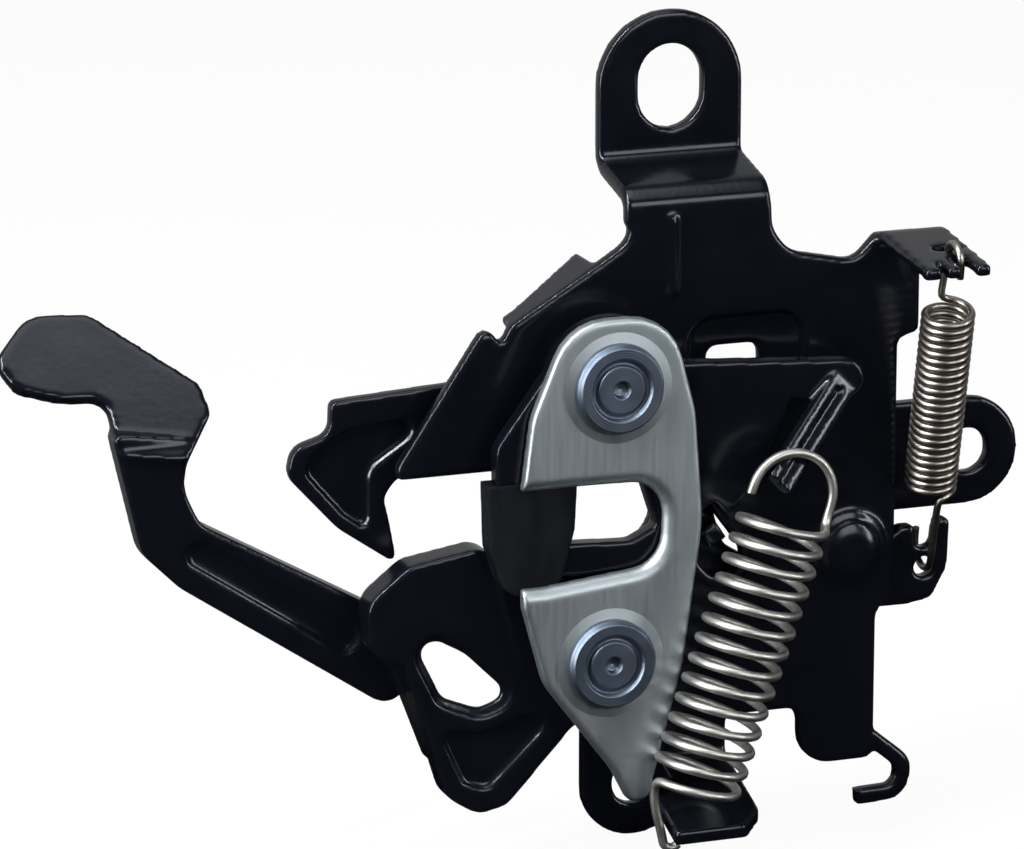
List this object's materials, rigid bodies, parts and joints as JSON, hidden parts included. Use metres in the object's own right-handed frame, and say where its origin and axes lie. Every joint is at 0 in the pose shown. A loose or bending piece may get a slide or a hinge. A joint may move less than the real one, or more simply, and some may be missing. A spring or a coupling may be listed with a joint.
{
  "type": "bonnet latch",
  "caption": "Pressed-steel bonnet latch with a spring-opened hook, release pawl, thumb-worked safety hook, zinc front plate and three bolt ears.",
  "frame": {"origin": "centre of the side ear's bolt hole, on the mounting plane", "axes": "+X away from the striker's mouth, -Y out of the latch's front face, +Z from the lower rivet to the upper one, as in the picture"},
  "size_m": [0.1518, 0.0394, 0.1208],
  "materials": {
    "black_paint": "gloss black with a faint blue cast",
    "zinc": "clear zinc plating, satin",
    "rivet_steel": "bluish bare steel, formed heads",
    "spring_steel": "bright drawn wire",
    "dull_spring": "oiled drawn wire",
    "jaw_moulding": "greased matt black moulding"
  },
  "bodies": {
    "frame": {"base_plate": "black_paint", "front_plate": "zinc", "upper_rivet": "rivet_steel", "lower_rivet": "rivet_steel", "upper_sleeve": "zinc", "lower_sleeve": "zinc", "latch_spacer": "zinc", "lever_spacer": "zinc", "hook_washer": "zinc", "pawl_washer": "zinc", "lift_spring": "spring_steel", "pawl_spring": "dull_spring", "hook_spring": "spring_steel", "lever_spring": "spring_steel"},
    "latch": {"latch_hook": "black_paint", "jaw_cover": "jaw_moulding"},
    "pawl": {"release_pawl": "black_paint"},
    "lever": {"safety_lever": "black_paint", "drive_pin": "zinc"},
    "hook": {"safety_hook": "black_paint"}
  },
  "joints": [
    {"name": "pawl_turn", "type": "hinge", "parent": "frame", "child": "pawl", "pos_m": [-0.0629, -0.0092, -0.0198], "axis": [0, 1, 0], "range_deg": [0, 16], "stiffness_Nm_per_rad": 1, "springref_deg": -22.92, "deforming": ["pawl_spring"]},
    {"name": "latch_turn", "type": "hinge", "parent": "frame", "child": "latch", "pos_m": [-0.0619, -0.018, 0.0197], "axis": [0, 1, 0], "range_deg": [0, 38.4], "deforming": ["lift_spring"]},
    {"name": "lever_turn", "type": "hinge", "parent": "frame", "child": "lever", "pos_m": [-0.0629, -0.0149, -0.0198], "axis": [0, -1, 0], "range_deg": [0, 9], "stiffness_Nm_per_rad": 0.8, "springref_deg": -20.05, "deforming": ["lever_spring"]},
    {"name": "hook_turn", "type": "hinge", "parent": "frame", "child": "hook", "pos_m": [-0.0619, -0.0068, 0.0197], "axis": [0, 1, 0], "range_deg": [0, 28.8], "deforming": ["hook_spring"]}
  ],
  "couplings": [
    {"joint": "latch_turn", "follows": "pawl_turn", "ratio": 2.4},
    {"joint": "hook_turn", "follows": "lever_turn", "ratio": 3.2}
  ]
}
